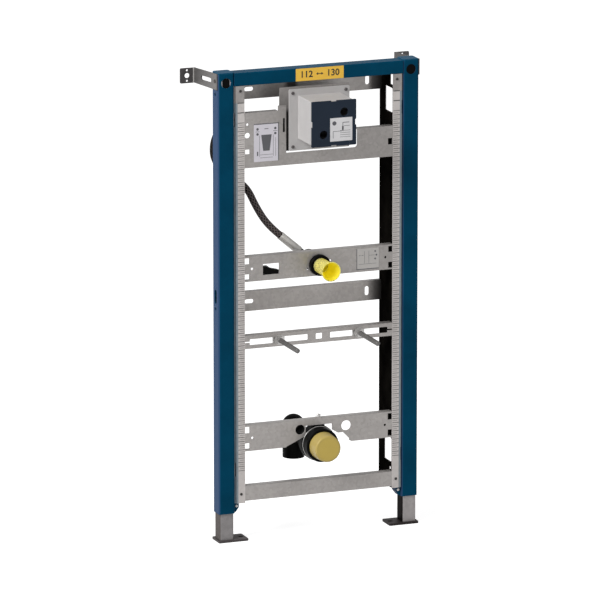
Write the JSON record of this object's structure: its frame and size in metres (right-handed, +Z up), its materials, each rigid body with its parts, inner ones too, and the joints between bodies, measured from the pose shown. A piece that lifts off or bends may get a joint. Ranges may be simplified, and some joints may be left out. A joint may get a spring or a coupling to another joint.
{
  "type": "urinal installation frame",
  "caption": "Free-standing steel wall frame that carries a urinal: posts on telescopic legs, slotted crossbars, valve box, flush connection, drain bend and hanging rods.",
  "frame": {"origin": "on the floor under the left leg's axis, on the underside of the left foot plate", "axes": "+X to the right seen from the front, +Y back to the wall, +Z up"},
  "size_m": [0.574, 0.276, 1.12],
  "materials": {
    "blue_paint": "satin powder coat",
    "cap_plastic": "satin",
    "galvanised": "galvanised",
    "dark_steel": "dull zinc",
    "zinc": "zinc plated",
    "bright_metal": "nickel plated",
    "black_plastic": "satin",
    "box_plastic": "satin",
    "cover_plastic": "satin",
    "clear_yellow": "translucent",
    "olive_yellow": "satin",
    "hose_braid": "braided"
  },
  "bodies": {
    "feet": {"left_leg": "galvanised", "right_leg": "galvanised", "left_foot_plate": "dark_steel", "right_foot_plate": "dark_steel"},
    "frame": {"left_post": "blue_paint", "right_post": "blue_paint", "left_leg_lug": "blue_paint", "right_leg_lug": "blue_paint", "top_beam": "blue_paint", "left_post_cap": "cap_plastic", "right_post_cap": "cap_plastic", "left_rail": "galvanised", "right_rail": "galvanised", "rear_beam_middle": "galvanised", "rear_beam_top": "galvanised", "bottom_crossbar": "galvanised", "rod_rail": "galvanised", "flush_crossbar": "galvanised", "drain_crossbar": "galvanised", "box_crossbar": "galvanised", "box_holder": "galvanised", "left_wall_bracket": "dark_steel", "right_wall_bracket": "dark_steel", "left_threaded_rod": "zinc", "right_threaded_rod": "zinc", "left_rod_nuts": "zinc", "right_rod_nuts": "zinc", "hose_ferrule_flush": "bright_metal", "hose_ferrule_box": "bright_metal", "flush_connector": "black_plastic", "flush_collar": "black_plastic", "pipe_clip": "black_plastic", "drain_bend": "black_plastic", "drain_collar": "black_plastic", "drain_clamp": "black_plastic", "rough_in_box": "box_plastic", "box_cover": "cover_plastic", "flush_plug": "clear_yellow", "drain_cap": "olive_yellow", "flush_hose": "hose_braid"}
  },
  "joints": [
    {"name": "leg_slide", "type": "slide", "parent": "feet", "child": "frame", "axis": [0, 0, 1], "range_m": [0, 0.18]}
  ]
}
